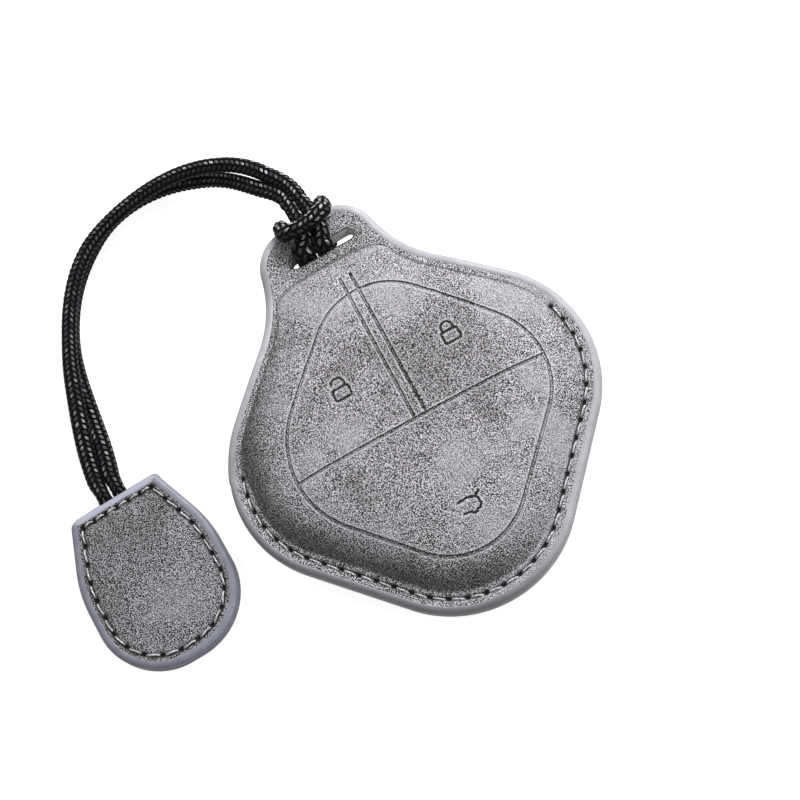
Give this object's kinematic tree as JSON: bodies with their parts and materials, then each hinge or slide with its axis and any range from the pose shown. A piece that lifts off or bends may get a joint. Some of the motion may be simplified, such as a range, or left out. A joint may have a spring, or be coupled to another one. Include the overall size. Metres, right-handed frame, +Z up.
{
  "type": "key fob cover",
  "caption": "Moulded grey leather cover for a car key, with a rounded diamond outline, an open side mouth and a black braided cord hitched to a sewn leather tag.",
  "frame": {"origin": "middle of the cover's outline, on the surface that its back lies on", "axes": "+Z up out of the cover's front, +Y along the cover towards its tab, +X across it to the right"},
  "size_m": [0.1092, 0.1143, 0.016],
  "materials": {
    "leather": "brushed nubuck, mottled grey",
    "lining": "napped microfibre, dark grey",
    "edge_paint": "satin edge paint, pale grey",
    "cord": "waxed round braid, black",
    "stiffener": "bonded leather board"
  },
  "bodies": {
    "cover": {"front_shell": "leather", "front_lining": "lining", "back_shell": "leather", "back_lining": "lining", "seam_edge_coat": "edge_paint", "front_lip_coat": "edge_paint", "back_lip_coat": "edge_paint"},
    "hitch": {"cord_hitch": "cord", "cord_upper_bend": "cord"},
    "lanyard": {"cord_strand_outer": "cord", "cord_strand_inner": "cord", "cord_lower_bend": "cord"},
    "tag": {"cord_tails": "cord", "tag_front": "leather", "tag_core": "stiffener", "tag_back": "leather", "tag_edge_coat": "edge_paint"}
  },
  "joints": [
    {"name": "hitch_slide", "type": "slide", "parent": "cover", "child": "hitch", "axis": [1, 0, 0], "range_m": [-0.002, 0.0035]},
    {"name": "lanyard_swing", "type": "hinge", "parent": "hitch", "child": "lanyard", "pos_m": [0.0007, 0.04877, 0.01081], "axis": [1, 0, 0], "range_deg": [-75, 75], "deforming": ["cord_upper_bend"]},
    {"name": "tag_flex", "type": "hinge", "parent": "lanyard", "child": "tag", "pos_m": [-0.05871, 0.0176, 0.0017], "axis": [0.9994, 0.0349, 0], "range_deg": [-60, 60], "deforming": ["cord_lower_bend"]}
  ]
}
